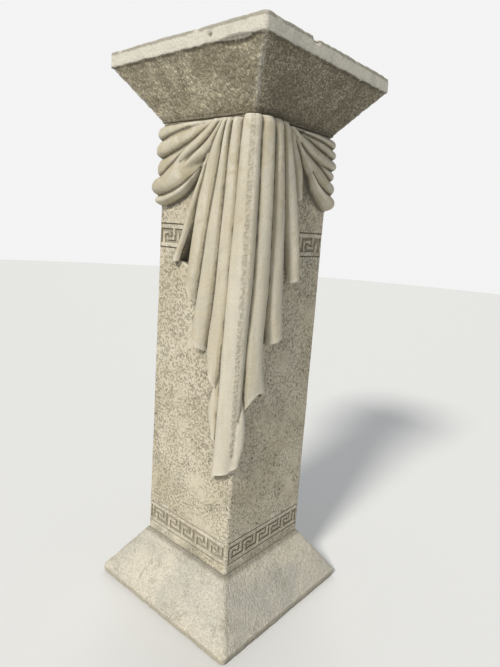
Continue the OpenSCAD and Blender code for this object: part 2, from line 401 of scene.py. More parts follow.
RIGHT_ROLLS = [
    dict(upper=[(80, 889), (145, 889), (SIDE, 888)],
         lower=[(84, 887), (145, 880), (SIDE, 868)], relief=16, ridge=0.55, start=0.5),
    dict(upper=[(110, 883), (160, 880), (SIDE, 869)],
         lower=[(110, 880), (160, 862), (SIDE, 850)], relief=18, ridge=0.50, start=0.4),
    dict(upper=[(84, 889), (125, 877), (168, 862), (SIDE, 853)],
         lower=[(72, 886), (115, 856), (160, 838), (SIDE, 831)], relief=20, ridge=0.60, start=0.6),
    dict(upper=[(146, 850), (174, 840), (SIDE, 834)],
         lower=[(146, 844), (178, 825), (SIDE, 812)], relief=17, ridge=0.50, start=0.5),
    dict(upper=[(76, 888), (118, 861), (165, 837), (SIDE, 815)],
         lower=[(90, 870), (130, 825), (160, 799), (SIDE, 786)], relief=20, ridge=0.50, start=0.5),
    dict(upper=[(88, 884), (128, 834), (160, 806), (SIDE, 793)],
         lower=[(92, 876), (130, 832), (158, 788), (SIDE, 761)], relief=23, ridge=0.55, start=0.5),
]
# Strands that leave the gather on the -Y side and sink into the big roll.
STRANDS = [
    dict(upper=[(76, 889), (112, 865), (152, 838), (194, 806)],
         lower=[(56, 885), (90, 853), (132, 824), (176, 792)], relief=22, ridge=0.50, start=0.6),
    dict(upper=[(58, 887), (92, 854), (134, 825), (178, 793)],
         lower=[(36, 887), (68, 842), (116, 812), (168, 780)], relief=24, ridge=0.42, start=0.6),
]


def arch(p, ridge, fullness):
    """Section of a fold: (1 - |q|^fullness)^0.62, where q is 0 at the ridge and 1 at either edge."""
    q = np.where(p < ridge, (p - ridge) / ridge, (p - ridge) / (1 - ridge))
    return (1 - np.abs(q) ** fullness) ** 0.62


def fold(name, first, second, height, ridge, tips, bow=0.0):
    """A closed fold between two edges (stations, 2) of run and height, in metres.

    Each station is an arch over the straight line between the edges, closed by
    two points at the root, inside the shaft. Bow lifts the middle of the hem.
    """
    p = np.linspace(0, 1, ACROSS)
    run = first[:, :1] * (1 - p) + second[:, :1] * p
    z = first[:, 1:] * (1 - p) + second[:, 1:] * p
    z += bow * np.linspace(0, 1, len(z))[:, None] ** 6 * np.sin(math.pi * p**0.7)
    front = on_shaft(run, z, height[:, None] * arch(p, ridge, FULLNESS))
    root = [on_shaft(edge[:, 0], edge[:, 1], -ROOT)[:, None] for edge in (second, first)]
    points, faces = skin(np.concatenate([front] + root, axis=1), *tips)
    return outward(name, points, faces)


def pleat(number, row, from_run):
    """One pleat, from the cap to its hem; the hem is hollowed from below.

    It swells out from under the cap by a quarter round, and its edges wander a
    little, as they do where cloth was modelled by hand.
    """
    v = np.linspace(0, 1, PLEAT_STATIONS)
    edges = [through(row[side], v) * MM for side in ("left", "right")]
    wander = WANDER * np.sin(v * 11 + number * 2.1) * v * (1 - v) * 4
    for edge in edges:
        edge[:, 0] += from_run + wander
    middle = (edges[0] + edges[1]) / 2
    below = np.clip((HEAD_Z - middle[:, 1]) / sizes().gather_h, 0, 1)
    height = row["relief"] * MM * (0.55 + 0.45 * np.sqrt(1 - (1 - below) ** 2))
    height *= 1 + 0.05 * np.sin(v * 7 + number)
    height *= 1 - row.get("rise", 0) * (1 - ease(v / 0.5))
    ridge = row["ridge"]
    bow = row.get("bow", 0)
    hem = edges[0][-1] * (1 - ridge) + edges[1][-1] * ridge
    first_tip = on_shaft(middle[0, 0], middle[0, 1] + 1 * MM, np.float64(0))
    last_tip = on_shaft(hem[0], hem[1] + (row["hollow"] + bow) * MM, height[-1] * 0.3)
    return fold(f"pleat_{number}", *edges, height, ridge, (first_tip, last_tip), bow * MM)


def roll(name, row, side, whole):
    """One roll of a swag, from the gather to the side corner, and on to the tail if whole.

    It stands out less at the gather, and most at the side corner. A roll that is
    not whole sinks back into the surface.
    """
    share = np.linspace(0, 1, ROLL_STATIONS)
    edges = []
    for key in ("upper", "lower"):
        knots = np.array(row[key], float)
        if whole:
            back = knots[-2::-1] * [-1, 1] + [2 * SIDE, 0]
            knots = np.concatenate([knots, back])
        edges.append(through(knots, share) * MM * [side, 1])
    reached = 1 - np.abs(2 * share - 1) if whole else share
    grow = row["start"] + (1 - row["start"]) * ease(reached * 1.15)
    fade = 1 if whole else 1 - ease((share - 0.45) / 0.55) * 0.45
    height = row["relief"] * MM * grow * fade
    tips = [on_shaft(*((edges[0][k] + edges[1][k]) / 2), np.float64(0)) for k in (0, -1)]
    return fold(name, *edges, height, row["ridge"], tips)


def cloth():
    """Every fold of the cloth as closed objects."""
    opposite = 2 * side_run(HEAD_Z)
    folds = [pleat(k, row, 0.0) for k, row in enumerate(FALL_PLEATS)]
    folds += [pleat(20 + k, row, opposite) for k, row in enumerate(TAIL_PLEATS)]
    for side, rows in ((-1, LEFT_ROLLS), (1, RIGHT_ROLLS)):
        folds += [roll(f"roll_{side}_{k}", row, side, True) for k, row in enumerate(rows)]
    folds += [roll(f"strand_{k}", row, -1, False) for k, row in enumerate(STRANDS)]
    return folds


# ------------------------------------------------------------------ the key bands

# Place of the hanging hook in a key unit, and length of a hook's arm, as shares of the unit.
HANGING = 0.71
REACH = 0.45


def face_matrix(turns, half):
    """Places a drawing (along the face, up, out) on the face that lies that many quarter turns from +X."""
    lay = Matrix(((0, 0, 1, half), (1, 0, 0, 0), (0, 1, 0, 0), (0, 0, 0, 1)))
    return np.array(Matrix.Rotation(turns * math.pi / 2, 4, "Z") @ lay)


def prism(low, high, floor, top):
    """Points and faces of a solid between two outlines (points, 2) at two heights out from the face."""
    count = len(low)
    points = np.concatenate([np.c_[low, np.full(count, floor)], np.c_[high, np.full(count, top)]])
    sides = [[k, (k + 1) % count, count + (k + 1) % count, count + k] for k in range(count)]
    return points, sides + [list(range(count))[::-1], list(range(count, 2 * count))]


def gather(parts):
    """Joins lists of (points, faces) into one."""
    points, faces, start = [], [], 0
    for part_points, part_faces in parts:
        points.append(part_points)
        faces += [[start + k for k in face] for face in part_faces]
        start += len(part_points)
    return np.concatenate(points), faces


def stroke_outline(path, width):
    """Outline of a square-cornered path of that width: each point moved out by both its normals."""
    path = np.asarray(path, float)
    step = np.diff(path, axis=0)
    normal = np.stack([-step[:, 1], step[:, 0]], axis=-1) / np.linalg.norm(step, axis=1)[:, None]
    before = np.concatenate([normal[:1], normal])
    after = np.concatenate([normal, normal[-1:]])
    same = np.sum(before * after, axis=1) > 0.5
    shift = np.where(same[:, None], before, before + after) * width / 2
    return np.concatenate([path - shift, (path + shift)[::-1]])


def block(x0, x1, y0, y1, floor, top):
    """A square-cut solid in face coordinates."""
    outline = np.array([(x0, y0), (x1, y0), (x1, y1), (x0, y1)])
    return prism(outline, outline, floor, top)


def key_hooks(low_x, high_x, shift):
    """Paths of the raised hooks whose stems stand between two places along the face."""
    s = sizes()
    field_half = (s.band_h - s.border_w - 2 * s.rail_w) / 2
    arm = field_half - s.stroke_w * 1.6
    reach = s.key_pitch * REACH
    start = -s.shaft_foot_w / 2 + s.band_margin
    rising = [(0, -field_half - MM), (0, arm), (reach, arm), (reach, arm - s.stroke_w)]
    paths = []
    for unit in range(-1, math.ceil(s.shaft_foot_w / s.key_pitch) + 1):
        for offset, turn in ((0, 1), (HANGING, -1)):
            stem = start + (unit + shift + offset) * s.key_pitch
            path = [(stem + turn * x, turn * y) for x, y in rising]
            ends = [p[0] for p in path]
            edge = s.stroke_w / 2
            if min(ends) - edge > low_x and max(ends) + edge < high_x:
                paths.append(path)
            elif low_x + edge < stem < high_x - edge:
                paths.append(path[:2])
    return paths


def key_band(z, shifts, openings):
    """Cutters and raised strokes of one band on all four faces.

    openings gives for each face the stretch along it that the cloth leaves bare.
    """
    s = sizes()
    half = float(shaft_half(z))
    field_half = (s.band_h - s.border_w - 2 * s.rail_w) / 2
    cutters, strokes = [], []
    for turns in range(4):
        low_x, high_x = openings[turns]
        place = face_matrix(turns, half)
        place[2, 3] = z
        field = block(low_x, high_x, -field_half, field_half, -s.groove_depth, 1.2 * MM)
        lines = [
            block(low_x, high_x, side * s.band_h / 2 - s.border_w / 2, side * s.band_h / 2 + s.border_w / 2,
                  -s.groove_depth * 0.8, 1.2 * MM)
            for side in (-1, 1)
        ]
        hooks = [
            prism(stroke_outline(path, s.stroke_w * 1.25), stroke_outline(path, s.stroke_w * 0.9),
                  -s.groove_depth - MM, -0.25 * MM)
            for path in key_hooks(low_x, high_x, shifts[turns % 2])
        ]
        for parts, kept in (([field] + lines, cutters), (hooks, strokes)):
            points, faces = gather(parts)
            kept.append((np.c_[points, np.ones(len(points))] @ place.T[:, :3], faces))
    return cutters, strokes


# ------------------------------------------------------------------ shaft

# Steps along a side and round an arris of the plain core.
SIDE_STEPS = 4
ARRIS_STEPS = 6
# Size of the cells in which core and folds are melted into one skin.
FINEST = 1.4 * MM
# The cloth hides the upper band up to this y on the +X face, and down to this x on the -Y face.
CLOTH_TO_Y = 32 * MM
CLOTH_TO_X = -41 * MM
# How far the pocket starts out from the shaft's face, and how deep it goes.
POCKET_MOUTH = 6 * MM
POCKET_DEPTH = 13 * MM


def shaft_core():
    """The plain square shaft with rounded arrises, closed at both ends."""
    s = sizes()
    rows = [(s.shaft_foot_w / 2, FOOT_Z), (s.shaft_head_w / 2, HEAD_Z)]
    around = 4 * (SIDE_STEPS + ARRIS_STEPS)
    rings = np.array([
        np.c_[soft_square(half, s.arris_r, SIDE_STEPS, ARRIS_STEPS), np.full(around, z)]
        for half, z in rows
    ])
    return outward("shaft_casting", *skin(rings, (0, 0, FOOT_Z), (0, 0, HEAD_Z)))


def pocket():
    """The dark hollow under the open hem of the outermost pleat of the -Y side."""
    outline = np.array([(-150, 657), (-119, 646), (-113, 690), (-110, 740)]) * MM
    rings = np.stack([on_shaft(outline[:, 0], outline[:, 1], out) for out in (POCKET_MOUTH, -POCKET_DEPTH)])
    return outward("pocket", *skin(rings, rings[0].mean(axis=0), rings[1].mean(axis=0)))


def cut_keys(made):
    """Cuts the key bands into all four faces of the shaft; the upper one stops at the cloth."""
    s = sizes()
    face = s.shaft_foot_w / 2 - s.band_margin
    bare = [(-face, face)] * 4
    draped = [(CLOTH_TO_Y, face), (-face, face), (-face, face), (-face, CLOTH_TO_X)]
    cut_parts, stroke_parts = [], []
    for z, shifts, openings in (
        (s.lower_band_z, (s.lower_shift_x, s.lower_shift_y), bare),
        (s.upper_band_z, (s.upper_shift_x, s.upper_shift_y), draped),
    ):
        cutters, strokes = key_band(z, shifts, openings)
        cut_parts += cutters
        stroke_parts += strokes
    cutter = outward("key_cutter", *gather(cut_parts))
    strokes = outward("key_strokes", *gather(stroke_parts))
    combine(made, "DIFFERENCE", [cutter])
    combine(made, "UNION", [strokes])
    settle(made, [cutter, strokes])


def build_shaft():
    """The shaft's casting: plain core and folds melted into one skin, then the key bands cut in."""
    made = shaft_core()
    folds = cloth()
    combine(made, "UNION", folds)
    hole = pocket()
    combine(made, "DIFFERENCE", [hole])
    melt = made.modifiers.new("melt", "REMESH")
    melt.mode = "VOXEL"
    melt.voxel_size = FINEST
    soften = made.modifiers.new("soften", "SMOOTH")
    soften.factor = 0.5
    soften.iterations = 2
    settle(made, folds + [hole])
    points = mesh_points(made.data)
    worn = 0.5 * MM * lumps(points, 42 * MM, 3) + 0.25 * MM * lumps(points, 13 * MM, 4)
    points += mesh_normals(made.data) * worn[:, None]
    points[:, 2] = np.clip(points[:, 2], FOOT_Z, HEAD_Z)
    move_points(made.data, points)
    thin = made.modifiers.new("thin", "DECIMATE")
    thin.ratio = sizes().shaft_triangles / (2 * len(made.data.polygons))
    cut_keys(made)
    clean_skin(made.data)
    mark_hollows(made.data, "hollow", 4, 4 * MM)
    mark_hollows(made.data, "valley", 40, 14 * MM)
    smooth_shade(made.data, 42)
    return made


# ------------------------------------------------------------------ base and cap

# Steps along a side of a block, and spacing of its rows where it shows and where it doesn't.
ALONG = 200
FINE = 1.7 * MM
COARSE = 16 * MM
# Least length that a normal is divided by.
TINY = 1e-12


def ring_normals(rings):
    """Outward normals of a grid of rings: the cross product of its two directions."""
    around = np.roll(rings, -1, axis=1) - np.roll(rings, 1, axis=1)
    along = np.gradient(rings, axis=0)
    normal = np.cross(around, along)
    return normal / np.maximum(np.linalg.norm(normal, axis=-1, keepdims=True), TINY)


def flared_block(corners, round_steps):
    """Grid of rings (rows, points, 3) for a square block with that profile.

    Each corner of the profile gives half the width, the height, the radius of
    the block's own corners there, and the spacing of rows up to the next one.
    """
    rows = []
    for low, high in zip(corners[:-1], corners[1:]):
        start, end = np.array(low[:3]), np.array(high[:3])
        count = math.ceil(np.linalg.norm((end - start)[:2]) / low[3])
        rows += [start + (end - start) * k / count for k in range(count)]
    rows.append(np.array(corners[-1][:3]))
    around = 4 * (ALONG + round_steps)
    return np.stack([
        np.c_[soft_square(half, radius, ALONG, round_steps), np.full(around, z)]
        for half, z, radius in rows
    ])


def dent(points, centre, radii, depth):
    """Depth of a rounded dent: depth (1 - d^2) inside the ellipsoid about centre, 0 outside."""
    away = np.sum(((points - np.array(centre)) / np.array(radii)) ** 2, axis=-1)
    return depth * np.clip(1 - away, 0, 1)


def brush_marks(points, size, seed):
    """Thin wandering grooves where a random field of that size passes 0: 1 in the groove, 0 beside it."""
    return ease(1 - np.abs(lumps(points, size, seed)) / 0.24)


def near(value, middle, reach):
    """1 where value is at the middle, falling softly to 0 at reach away from it."""
    return ease(1 - np.abs(value - middle) / reach)


def cast_block(name, corners, round_steps, wear):
    """A block with that profile, pushed out along its normals by wear in millimetres.

    Nothing moves beyond the CAD box's width or the profile's two ends.
    """
    rings = flared_block(corners, round_steps)
    low, high = corners[0][1], corners[-1][1]
    normals = ring_normals(rings)
    normals *= np.sign(normals[len(rings) // 3, 0, 0])
    rings = rings + normals * (wear(rings) * MM)[..., None]
    widest = CAD_BOX[1][0]
    rings[..., :2] = np.clip(rings[..., :2], -widest, widest)
    rings[..., 2] = np.clip(rings[..., 2], low, high)
    made = outward(name, *skin(rings, (0, 0, low), (0, 0, high)))
    mark_hollows(made.data, "hollow", 1, 3 * MM)
    mark_hollows(made.data, "valley", 16, 14 * MM)
    smooth_shade(made.data, 60)
    return made


def build_cap():
    """The cap's casting: lip, brushed slope and slab, with its worn arris and chips."""
    s = sizes()
    top, foot, full = CAP_HIGH.z, CAP_LOW.z, CAP_HIGH.x
    lip = s.shaft_head_w / 2 + s.cap_ledge
    slab = top - s.cap_slab_h
    foot_side = foot + s.cap_lip_h
    corners = [
        (0.02, foot, 0.004, COARSE), (lip - 3 * MM, foot, 0.004, FINE),
        (lip - 1.5 * MM, foot + 0.3 * MM, 0.004, FINE), (lip - 0.3 * MM, foot + 1.5 * MM, 0.004, FINE),
        (lip, foot_side, 0.004, FINE), (full - 4 * MM, slab - 2.2 * MM, 0.004, FINE),
        (full - 1.5 * MM, slab - 0.8 * MM, 0.005, FINE), (full - 0.6 * MM, slab + 1.5 * MM, 0.006, FINE),
        (full - 0.6 * MM, top - 3 * MM, 0.006, FINE), (full - 1.4 * MM, top - 1 * MM, 0.006, FINE),
        (full - 4 * MM, top - 0.2 * MM, 0.006, 4 * MM), (full - 10 * MM, top, 0.006, COARSE),
        (0.02, top, 0.004, COARSE),
    ]
    # Centre, radii, and depth in millimetres.
    torn_edge = (0.120, -full, slab - 5 * MM), (0.034, 0.02, 0.008), 8
    blowhole = (0.0693, -full, top - 13.4 * MM), (0.006, 0.01, 0.005), 4
    chip = (full, -0.0572, top - 3 * MM), (0.012, 0.011, 0.007), 5

    def wear(points):
        """Brush marks on the slope, a ragged slab edge, a worn arris, and the dents."""
        z = points[..., 2]
        out = np.abs(points[..., :2]).max(axis=-1)
        slope = ease((z - foot_side) / (4 * MM)) * ease((slab - z) / (3 * MM))
        push = 0.5 * lumps(points, 34 * MM, 11) + 0.25 * lumps(points, 9 * MM, 12)
        push += slope * (0.55 * lumps(points, 4.5 * MM, 13) - 0.9 * brush_marks(points, 8 * MM, 18))
        arris = near(z, top - 2 * MM, 7 * MM) * ease((out - full + 16 * MM) / (8 * MM))
        eaten = 0.3 + 0.8 * lumps(points, 24 * MM, 14) + 0.8 * lumps(points, 6 * MM, 15)
        push -= arris * np.maximum(eaten, 0)
        push += near(z, slab, 4 * MM) * (0.8 * lumps(points, 14 * MM, 16) + 0.6 * lumps(points, 5 * MM, 17))
        for place, radii, depth in (torn_edge, blowhole, chip):
            push -= dent(points, place, radii, depth)
        return push

    return cast_block("cap_casting", corners, 6, wear)


def build_base():
    """The base's casting: worn rim, soft hips and sandy slopes up to the seat of the shaft."""
    s = sizes()
    top, full, rim = BASE_HIGH.z, BASE_HIGH.x, s.base_rim_h
    seat = s.shaft_foot_w / 2 + s.seat_ledge
    corners = [
        (0.02, 0.0, 0.008, COARSE), (full - 5 * MM, 0.0, 0.008, FINE), (full - 2 * MM, 1 * MM, 0.009, FINE),
        (full - 0.5 * MM, 3 * MM, 0.009, FINE), (full - 0.3 * MM, rim - 3 * MM, 0.009, FINE),
        (full - 1.0 * MM, rim - 0.6 * MM, 0.009, FINE), (full - 3.0 * MM, rim + 1.3 * MM, 0.009, FINE),
        (seat + 3 * MM, top - 2.2 * MM, 0.007, FINE), (seat, top, 0.005, FINE),
        (seat - 5 * MM, top, 0.004, COARSE), (0.02, top, 0.003, COARSE),
    ]

    def wear(points):
        """Slow hollows, sandy grain, and an eaten rim and foot."""
        z = points[..., 2]
        push = 0.6 * lumps(points, 38 * MM, 21) + 0.3 * lumps(points, 12 * MM, 22)
        push += 0.35 * lumps(points, 5 * MM, 26)
        patches = ease(lumps(points, 40 * MM, 27) * 3 - 0.6)
        push -= 0.8 * patches * brush_marks(points, 9 * MM, 28)
        push -= near(z, rim, 8 * MM) * np.maximum(0.5 + 1.1 * lumps(points, 18 * MM, 23), 0)
        eaten = 0.7 + 1.2 * lumps(points, 15 * MM, 24) + 0.8 * lumps(points, 6 * MM, 25)
        push -= near(z, 0, 7 * MM) * np.maximum(eaten, 0)
        out = np.abs(points[..., :2]).max(axis=-1)
        return push * ease((out - seat) / (4 * MM))

    return cast_block("base_casting", corners, 8, wear)


# ------------------------------------------------------------------ shader maths


class Wire:
    """A shader socket that joins in sums like a number: each operator adds a Math node."""

    def __init__(self, stone, socket):
        self.stone = stone
        self.socket = socket

    def __add__(self, other):
        return self.stone.maths("ADD", self, other)

    def __sub__(self, other):
        return self.stone.maths("SUBTRACT", self, other)

    def __rsub__(self, other):
        return self.stone.maths("SUBTRACT", other, self)

    def __mul__(self, other):
        return self.stone.maths("MULTIPLY", self, other)

    def __abs__(self):
        return self.stone.maths("ABSOLUTE", self)

    __radd__ = __add__
    __rmul__ = __mul__

    def most(self, other):
        """The greater of the two."""
        return self.stone.maths("MAXIMUM", self, other)

    def step(self, low, high):
        """A soft step from 0 at low to 1 at high; low may lie above high."""
        if low > high:
            return 1 - self.step(high, low)
        settings = {"interpolation_type": "SMOOTHSTEP"}
        values = {"Value": self, "From Min": low, "From Max": high}
        return self.stone.node("ShaderNodeMapRange", settings, values)


class Stone:
    """The node tree of one stone finish."""

    def __init__(self, name):
        self.material = bpy.data.materials.new(name)
        self.material.use_nodes = True
        self.tree = self.material.node_tree
        self.surface = self.tree.nodes["Principled BSDF"]
        self.place = self.node("ShaderNodeTexCoord", {}, {}, "Object")
        split = self.node("ShaderNodeSeparateXYZ", {}, {"Vector": self.place}, "X")
        outputs = split.socket.node.outputs
        self.x, self.y, self.z = (Wire(self, outputs[k]) for k in "XYZ")
        self.hollow = self.node("ShaderNodeAttribute", {"attribute_name": "hollow"}, {}, "Fac")
        self.valley = self.node("ShaderNodeAttribute", {"attribute_name": "valley"}, {}, "Fac")

    def node(self, kind, settings, values, result=0):
        """Adds a node with those settings, and those values or wires on its inputs."""
        made = self.tree.nodes.new(kind)
        for key, value in settings.items():
            setattr(made, key, value)
        for key, value in values.items():
            socket = next(s for s in made.inputs if key in (s.identifier, s.name) and s.enabled) \
                if isinstance(key, str) else made.inputs[key]
            if isinstance(value, Wire):
                self.tree.links.new(value.socket, socket)
            else:
                socket.default_value = value
        if isinstance(result, int):
            return Wire(self, made.outputs[result])
        return Wire(self, next(s for s in made.outputs if result in (s.identifier, s.name)))

    def maths(self, operation, *values):
        """A Math node on those values."""
        return self.node("ShaderNodeMath", {"operation": operation}, dict(enumerate(values)))

    def vector(self, x, y, z):
        """A vector of three wires."""
        return self.node("ShaderNodeCombineXYZ", {}, {"X": x, "Y": y, "Z": z})

    def noise(self, size, detail=2.0, warp=0.0, place=None):
        """Noise about 0.5 whose blobs are that size, in metres."""
        values = {"Vector": place or self.place, "Scale": 1 / size, "Detail": detail,
                  "Roughness": 0.5, "Distortion": warp}
        return self.node("ShaderNodeTexNoise", {}, values, "Fac")

    def mix(self, share, low, high):
        """Colour low at share 0, and high at share 1."""
        values = {"Factor_Float": share, "A_Color": low, "B_Color": high}
        return self.node("ShaderNodeMix", {"data_type": "RGBA"}, values, "Result_Color")

    def coat(self, under, share, over):
        """The wired colour under, with a coat of a plain colour over it by that share."""
        return self.mix(share, under, rgb(over))

    def finish(self, colour, relief, roughness):
        """Wires the colour, the relief in metres and the roughness to the surface."""
        bump = self.node("ShaderNodeBump", {}, {"Strength": 1.0, "Distance": 1.0, "Height": relief})
        for key, value in (("Base Color", colour), ("Normal", bump), ("Roughness", roughness)):
            self.tree.links.new(value.socket, self.surface.inputs[key])
        self.surface.inputs["Specular IOR Level"].default_value = 0.25
        return self.material


def rgb(colour):
    """A colour property as four numbers."""
    return tuple(colour) + (1.0,)


def face_colour(m, stain):
    """Stone of the plain faces, with stains, and painted shade under the swags."""
    c = colours()
    broad = m.noise(0.11, 3.0, 0.6)
    face = m.mix(broad.step(0.35, 0.68), rgb(c.face_light), rgb(c.face_warm))
    face = m.coat(face, stain.step(0.50, 0.72) * 0.30, c.dirt)
    # Painted shade: the bare faces darken above about 0.76 m, under the swags.
    return m.coat(face, m.z.step(0.755, 0.80) * 0.75, c.pit_dirt_and_shade)


def cloth_colour(m, grain, stain, centre_wear, scraped):
    """Stone of the cloth: dirt near the cap and on the big roll, dirt and painted shade in the valleys, and
    wear down the middle.
    """
    c = colours()
    run_down = m.noise(0.02, 3.0, 0.3, m.vector(m.x, m.y, m.z * 0.12))
    cloth = m.mix(run_down.step(0.35, 0.70), rgb(c.cloth_light), rgb(c.cloth_warm))
    soiled = (m.noise(0.028, 4.0, 0.6) + m.z * 0.6).step(0.98, 1.16)
    cloth = m.coat(cloth, soiled * 0.45, c.cloth_dirt_and_shade)
    big_roll = m.x.step(0.04, -0.03) * m.y.step(-0.09, -0.11) * m.z.step(0.865, 0.82)
    cloth = m.coat(cloth, big_roll * m.noise(0.03, 4.0, 0.8).step(0.30, 0.62) * 0.65, c.cloth_dirt_and_shade)
    # Dirt and painted shade: the cloth darkens in its broad valleys.
    cloth = m.coat(cloth, m.valley.step(0.02, 0.45) * 0.65, c.cloth_dirt_and_shade)
    cloth = m.coat(cloth, (grain - 0.5).step(-0.02, -0.20) * 0.35, c.cloth_dirt_and_shade)
    cloth = m.coat(cloth, m.noise(2.2 * MM, 2.0).step(0.52, 0.66) * 0.30, c.cloth_dirt_and_shade)
    cloth = m.coat(cloth, stain.step(0.45, 0.65) * 0.25, c.cloth_grey)
    cloth = m.coat(cloth, centre_wear * 0.55, c.dirt)
    return m.coat(cloth, scraped * 0.5, c.worn)


def shaft_stone():
    """Pitted faces with dark specks, smoother cloth, painted shade in the key grooves, the pocket and the
    creases, and dirt and painted shade in the cloth's valleys.
    """
    c = colours()
    s = sizes()
    m = Stone("shaft_stone")
    narrowing = (s.shaft_foot_w - s.shaft_head_w) / 2 / (HEAD_Z - FOOT_Z)
    half = s.shaft_foot_w / 2 - (m.z - FOOT_Z) * narrowing
    out = abs(m.x).most(abs(m.y)) - half
    cloth_mask = out.step(1.0 * MM, 4.0 * MM)
    recess = out.step(-0.8 * MM, -2.2 * MM)
    along = m.x + m.y
    across = m.x - m.y
    slant_a = along * 0.77 - m.z * 0.64
    slant_b = along * 0.64 + m.z * 0.77
    slant = m.vector(slant_a * 0.6, slant_b, across * 0.3)
    patch = m.noise(0.05, 2.0, 0.4)
    fine = m.noise(4.2 * MM, 2.0, 0.5).step(0.48, 0.62) * patch.step(0.20, 0.50)
    holes = m.noise(4.6 * MM, 1.0, 0.9, slant).step(0.60, 0.67) * m.noise(0.033, 2.0).step(0.46, 0.62)
    bare = (1 - cloth_mask) * (1 - recess)
    fine = fine * bare
    holes = holes * bare
    grain = m.noise(0.9 * MM, 3.0, 0.0)
    speck = m.noise(1.6 * MM, 2.0).step(0.60, 0.72)
    stain = m.noise(0.035, 4.0, 0.8)
    stripe = cloth_mask * m.z.step(0.30, 0.36)
    centre_wear = (1 - abs(along + 0.003) * 130).step(0.0, 0.6) * stripe
    centre_wear = centre_wear * m.noise(5 * MM, 3.0).step(0.40, 0.60)
    scraped = (1 - abs(along - 0.006) * 300).step(0.0, 0.8) * stripe * m.noise(9 * MM, 3.0).step(0.42, 0.58)
    cloth = cloth_colour(m, grain, stain, centre_wear, scraped)
    colour = m.mix(cloth_mask, face_colour(m, stain), cloth)
    colour = m.coat(colour, speck * 0.22, c.dirt)
    colour = m.coat(colour, (grain - 0.5).step(-0.12, 0.25) * 0.18, c.face_light)
    colour = m.coat(colour, fine * 0.52, c.pit_dirt_and_shade)
    colour = m.coat(colour, holes * 0.70, c.pit_dirt_and_shade)
    # Painted shade: the key's ground and border grooves are darkened.
    colour = m.coat(colour, recess * 0.55, c.pit_dirt_and_shade)
    # Painted shade: the deep pocket under the outermost pleat is darkened.
    colour = m.coat(colour, out.step(-4 * MM, -8 * MM) * 0.8, c.pit_dirt_and_shade)
    # Painted shade: creases and hollows are darkened.
    colour = m.coat(colour, m.hollow.step(0.03, 0.40) * 0.85, c.pit_dirt_and_shade)
    colour = m.coat(colour, m.hollow.step(-0.08, -0.45) * 0.40, c.worn)
    low_dirt = m.z.step(0.20, 0.104) * stain.step(0.35, 0.6) * 0.35
    colour = m.coat(colour, low_dirt, c.dirt)
    relief = fine * (-0.8 * MM) + holes * (-1.2 * MM) + (grain - 0.5) * 0.35 * MM
    relief = relief + (m.noise(6 * MM, 2.0) - 0.5) * 0.8 * MM
    relief = relief - centre_wear * 0.8 * MM
    rough = 0.86 + grain * 0.12
    return m.finish(colour, relief, rough)


